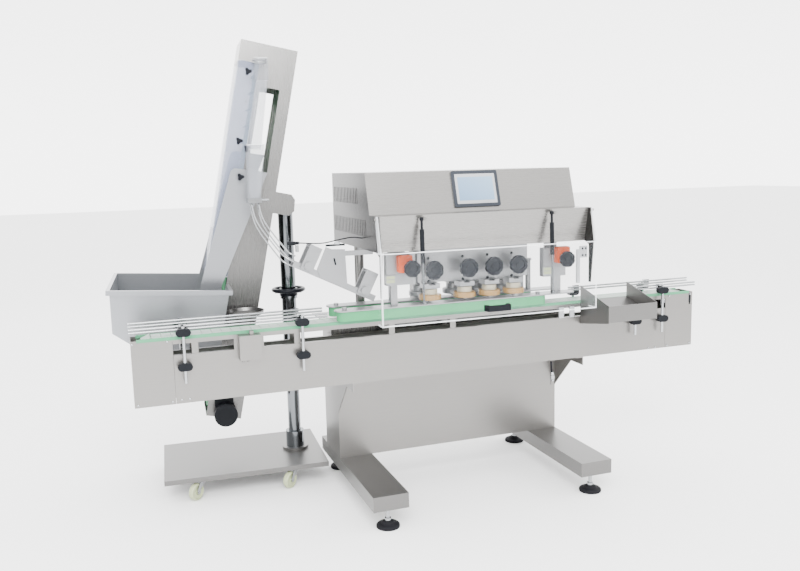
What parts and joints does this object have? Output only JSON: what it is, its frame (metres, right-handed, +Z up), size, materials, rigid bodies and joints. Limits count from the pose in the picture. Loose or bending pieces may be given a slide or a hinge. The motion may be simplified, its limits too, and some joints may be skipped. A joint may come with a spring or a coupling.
{
  "type": "bottle capping machine",
  "caption": "In-line spindle bottle capper on a slat conveyor, with a guarded head, side gripper belts, a cap track and a leaning cleated cap elevator.",
  "frame": {"origin": "middle of the whole object's footprint, on the floor", "axes": "+X along the conveyor in the direction of travel, +Y from the front to the back, +Z up"},
  "size_m": [2.6694, 1.2056, 2.0029],
  "materials": {
    "sheet_steel": "brushed stainless sheet",
    "polished_steel": "bright turned steel",
    "column_chrome": "chromed tube",
    "bead_blasted": "satin aluminium",
    "black_plastic": "moulded black plastic",
    "green_belt": "mint green belt",
    "green_strip": "mint green wear plastic",
    "cream_slats": "pale slat plastic",
    "clear_sheet": "clear sheet",
    "orange_plastic": "orange housing",
    "disc_rubber": "amber cast rubber",
    "nylon": "pale nylon",
    "screen_plastic": "slate bezel and screen",
    "cable_jacket": "black cable jacket"
  },
  "bodies": {
    "root": {"conveyor_panels": "sheet_steel", "end_covers": "sheet_steel", "conveyor_rails": "sheet_steel", "wear_strips": "green_strip", "slat_chain": "cream_slats", "guide_rails": "polished_steel", "rail_clamps": "black_plastic", "sensor_box": "sheet_steel", "exit_tray": "sheet_steel", "cabinet": "sheet_steel", "foot_beams": "sheet_steel", "levelling_pads": "black_plastic", "levelling_stems": "polished_steel", "transport_wheels": "nylon", "hood": "sheet_steel", "touch_panel": "screen_plastic", "head_frame": "sheet_steel", "head_plate": "bead_blasted", "adjuster_blocks": "bead_blasted", "position_indicators": "orange_plastic", "belt_frames": "bead_blasted", "gripper_belts": "green_belt", "cap_track": "sheet_steel", "lower_chute": "clear_sheet", "cap_guide_rods": "polished_steel", "elevator_base": "sheet_steel", "lower_column": "column_chrome", "sensor_cable": "cable_jacket"},
    "lift": {"upper_column": "column_chrome", "elevator_frame": "sheet_steel", "channel_cover": "clear_sheet", "hopper": "sheet_steel", "cleated_belt": "green_belt", "elevator_motor": "black_plastic", "upper_chute": "clear_sheet"},
    "handwheel": {"handwheel": "black_plastic"},
    "guard": {"guard": "clear_sheet", "guard_handle": "black_plastic"},
    "stay_tubes": {"gas_spring_tubes": "black_plastic"},
    "stay_rods": {"gas_spring_rods": "column_chrome"},
    "drive_roller": {"drive_roller": "polished_steel"},
    "tail_roller": {"tail_roller": "polished_steel"},
    "caster_fork_1": {"caster_fork_1": "polished_steel"},
    "caster_wheel_1": {"caster_wheel_1": "nylon"},
    "caster_fork_2": {"caster_fork_2": "polished_steel"},
    "caster_wheel_2": {"caster_wheel_2": "nylon"},
    "caster_fork_3": {"caster_fork_3": "polished_steel"},
    "caster_wheel_3": {"caster_wheel_3": "nylon"},
    "caster_fork_4": {"caster_fork_4": "polished_steel"},
    "caster_wheel_4": {"caster_wheel_4": "nylon"},
    "spindle_1": {"spindle_1": "disc_rubber"},
    "spindle_knob_1": {"spindle_knob_1": "black_plastic"},
    "spindle_2": {"spindle_2": "disc_rubber"},
    "spindle_knob_2": {"spindle_knob_2": "black_plastic"},
    "spindle_3": {"spindle_3": "disc_rubber"},
    "spindle_knob_3": {"spindle_knob_3": "black_plastic"},
    "spindle_4": {"spindle_4": "disc_rubber"},
    "spindle_knob_4": {"spindle_knob_4": "black_plastic"},
    "adjuster_knob_1": {"adjuster_knob_1": "black_plastic"},
    "adjuster_knob_2": {"adjuster_knob_2": "black_plastic"}
  },
  "joints": [
    {"name": "guard_hinge", "type": "hinge", "parent": "root", "child": "guard", "pos_m": [0.14966, -0.52676, 1.237], "axis": [-1, 0, 0], "range_deg": [0, 75]},
    {"name": "stay_tube_hinge", "type": "hinge", "parent": "root", "child": "stay_tubes", "pos_m": [0.14966, -0.53676, 1.233], "axis": [-1, 0, 0], "range_deg": [0, 78]},
    {"name": "stay_rod_slide", "type": "slide", "parent": "stay_tubes", "child": "stay_rods", "axis": [0, 0.0362, 0.9993], "range_m": [0, 0.0071]},
    {"name": "elevator_lift", "type": "slide", "parent": "root", "child": "lift", "axis": [0, 0, 1], "range_m": [0, 0.08]},
    {"name": "handwheel_turn", "type": "hinge", "parent": "lift", "child": "handwheel", "pos_m": [-0.5248, 0.24198, 0.878], "axis": [0, 0, 1], "continuous": true},
    {"name": "drive_roller_spin", "type": "hinge", "parent": "root", "child": "drive_roller", "pos_m": [1.21766, -0.31476, 0.767], "axis": [0, 1, 0], "continuous": true},
    {"name": "tail_roller_spin", "type": "hinge", "parent": "root", "child": "tail_roller", "pos_m": [-1.18034, -0.31476, 0.767], "axis": [0, 1, 0], "continuous": true},
    {"name": "caster_swivel_1", "type": "hinge", "parent": "root", "child": "caster_fork_1", "pos_m": [-0.99507, 0.05534, 0.09], "axis": [0, 0, 1], "continuous": true},
    {"name": "caster_roll_1", "type": "hinge", "parent": "caster_fork_1", "child": "caster_wheel_1", "pos_m": [-1.02054, 0.03281, 0.0375], "axis": [0.6626, -0.749, 0], "continuous": true},
    {"name": "caster_swivel_2", "type": "hinge", "parent": "root", "child": "caster_fork_2", "pos_m": [-0.96882, 0.48454, 0.09], "axis": [0, 0, 1], "continuous": true},
    {"name": "caster_roll_2", "type": "hinge", "parent": "caster_fork_2", "child": "caster_wheel_2", "pos_m": [-0.99429, 0.46201, 0.0375], "axis": [0.6626, -0.749, 0], "continuous": true},
    {"name": "caster_swivel_3", "type": "hinge", "parent": "root", "child": "caster_fork_3", "pos_m": [-0.57985, 0.02994, 0.09], "axis": [0, 0, 1], "continuous": true},
    {"name": "caster_roll_3", "type": "hinge", "parent": "caster_fork_3", "child": "caster_wheel_3", "pos_m": [-0.60531, 0.00741, 0.0375], "axis": [0.6626, -0.749, 0], "continuous": true},
    {"name": "caster_swivel_4", "type": "hinge", "parent": "root", "child": "caster_fork_4", "pos_m": [-0.5536, 0.45914, 0.09], "axis": [0, 0, 1], "continuous": true},
    {"name": "caster_roll_4", "type": "hinge", "parent": "caster_fork_4", "child": "caster_wheel_4", "pos_m": [-0.57906, 0.43661, 0.0375], "axis": [0.6626, -0.749, 0], "continuous": true},
    {"name": "spindle_spin_1", "type": "hinge", "parent": "root", "child": "spindle_1", "pos_m": [-0.05234, -0.37476, 0.884], "axis": [0, 0, 1], "continuous": true},
    {"name": "spindle_knob_turn_1", "type": "hinge", "parent": "root", "child": "spindle_knob_1", "pos_m": [-0.05234, -0.35976, 1.012], "axis": [0, -1, 0], "continuous": true},
    {"name": "spindle_spin_2", "type": "hinge", "parent": "root", "child": "spindle_2", "pos_m": [0.10466, -0.37476, 0.884], "axis": [0, 0, 1], "continuous": true},
    {"name": "spindle_knob_turn_2", "type": "hinge", "parent": "root", "child": "spindle_knob_2", "pos_m": [0.10466, -0.35976, 1.012], "axis": [0, -1, 0], "continuous": true},
    {"name": "spindle_spin_3", "type": "hinge", "parent": "root", "child": "spindle_3", "pos_m": [0.22066, -0.37476, 0.884], "axis": [0, 0, 1], "continuous": true},
    {"name": "spindle_knob_turn_3", "type": "hinge", "parent": "root", "child": "spindle_knob_3", "pos_m": [0.22066, -0.35976, 1.012], "axis": [0, -1, 0], "continuous": true},
    {"name": "spindle_spin_4", "type": "hinge", "parent": "root", "child": "spindle_4", "pos_m": [0.33666, -0.37476, 0.884], "axis": [0, 0, 1], "continuous": true},
    {"name": "spindle_knob_turn_4", "type": "hinge", "parent": "root", "child": "spindle_knob_4", "pos_m": [0.33666, -0.35976, 1.012], "axis": [0, -1, 0], "continuous": true},
    {"name": "adjuster_knob_turn_1", "type": "hinge", "parent": "root", "child": "adjuster_knob_1", "pos_m": [-0.15234, -0.38476, 1.026], "axis": [0, -1, 0], "continuous": true},
    {"name": "adjuster_knob_turn_2", "type": "hinge", "parent": "root", "child": "adjuster_knob_2", "pos_m": [0.56766, -0.38476, 1.021], "axis": [0, -1, 0], "continuous": true}
  ],
  "couplings": [
    {"joint": "stay_tube_hinge", "follows": "guard_hinge", "ratio": 1.0271},
    {"joint": "stay_rod_slide", "follows": "guard_hinge", "m_per_rad": 0.004643},
    {"joint": "tail_roller_spin", "follows": "drive_roller_spin", "ratio": 1},
    {"joint": "spindle_spin_2", "follows": "spindle_spin_1", "ratio": 1},
    {"joint": "spindle_spin_3", "follows": "spindle_spin_1", "ratio": 1},
    {"joint": "spindle_spin_4", "follows": "spindle_spin_1", "ratio": 1}
  ]
}
